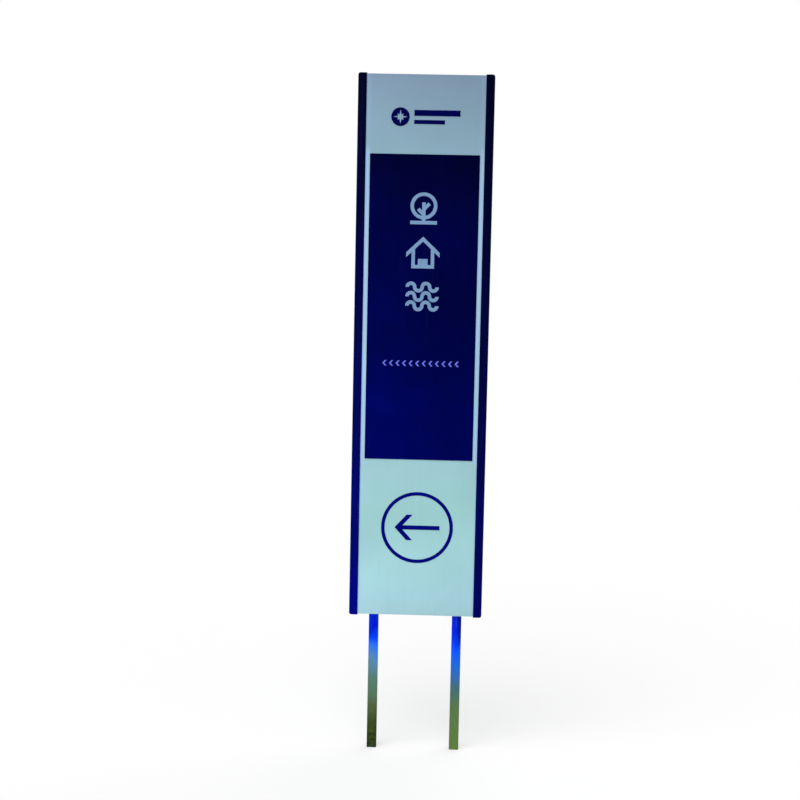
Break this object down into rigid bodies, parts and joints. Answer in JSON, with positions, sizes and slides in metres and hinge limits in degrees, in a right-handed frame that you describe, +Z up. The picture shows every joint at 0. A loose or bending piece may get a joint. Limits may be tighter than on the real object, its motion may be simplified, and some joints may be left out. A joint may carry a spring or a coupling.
{
  "type": "directional signpost",
  "caption": "Tall double-sided directional sign: flat pale faces with dark message panels and a ringed arrow, between edge profiles, on two square posts.",
  "frame": {"origin": "on the ground, midway between the feet of the two posts", "axes": "+Z up along the posts; the front face looks towards -Y; +X to the right of a reader in front; the arrows on both faces point towards -X"},
  "size_m": [0.445, 0.08, 2.26],
  "materials": {
    "profile_paint": "satin powder coat on extruded aluminium",
    "cap_plastic": "fine moulded grain",
    "face_paint": "smooth satin coat on aluminium sheet",
    "message_paint": "smooth satin coat on aluminium sheet",
    "post_lacquer": "translucent lacquer on steel tube, algae towards the foot",
    "rail_steel": "galvanised",
    "bracket_steel": "galvanised",
    "fastener_steel": "bright zinc",
    "graphic_navy": "cut sheet",
    "graphic_grey": "cut sheet",
    "graphic_violet": "cut sheet"
  },
  "bodies": {
    "root": {"left_edge_profile": "profile_paint", "right_edge_profile": "profile_paint", "left_top_cap": "cap_plastic", "right_top_cap": "cap_plastic", "left_bottom_cap": "cap_plastic", "right_bottom_cap": "cap_plastic", "front_face_panel": "face_paint", "rear_face_panel": "face_paint", "top_cover": "face_paint", "bottom_cover": "face_paint", "front_message_panel": "message_paint", "rear_message_panel": "message_paint", "left_post": "post_lacquer", "right_post": "post_lacquer", "lower_front_rail": "rail_steel", "lower_rear_rail": "rail_steel", "middle_front_rail": "rail_steel", "middle_rear_rail": "rail_steel", "upper_front_rail": "rail_steel", "upper_rear_rail": "rail_steel", "lower_left_bracket": "bracket_steel", "lower_right_bracket": "bracket_steel", "middle_left_bracket": "bracket_steel", "middle_right_bracket": "bracket_steel", "upper_left_bracket": "bracket_steel", "upper_right_bracket": "bracket_steel", "post_bolts": "fastener_steel", "post_nuts": "fastener_steel", "post_washers": "fastener_steel", "bracket_screws": "fastener_steel", "cap_screws": "fastener_steel", "top_cover_screws": "fastener_steel", "bottom_cover_screws": "fastener_steel", "front_arrow": "graphic_navy", "front_arrow_ring": "graphic_navy", "front_emblem": "graphic_navy", "front_emblem_bars": "graphic_navy", "rear_arrow": "graphic_navy", "rear_arrow_ring": "graphic_navy", "rear_emblem": "graphic_navy", "rear_emblem_bars": "graphic_navy", "front_tree_pictogram": "graphic_grey", "front_house_pictogram": "graphic_grey", "front_water_pictogram": "graphic_grey", "rear_tree_pictogram": "graphic_grey", "rear_house_pictogram": "graphic_grey", "rear_water_pictogram": "graphic_grey", "front_chevron_row": "graphic_violet", "rear_chevron_row": "graphic_violet"}
  },
  "joints": []
}
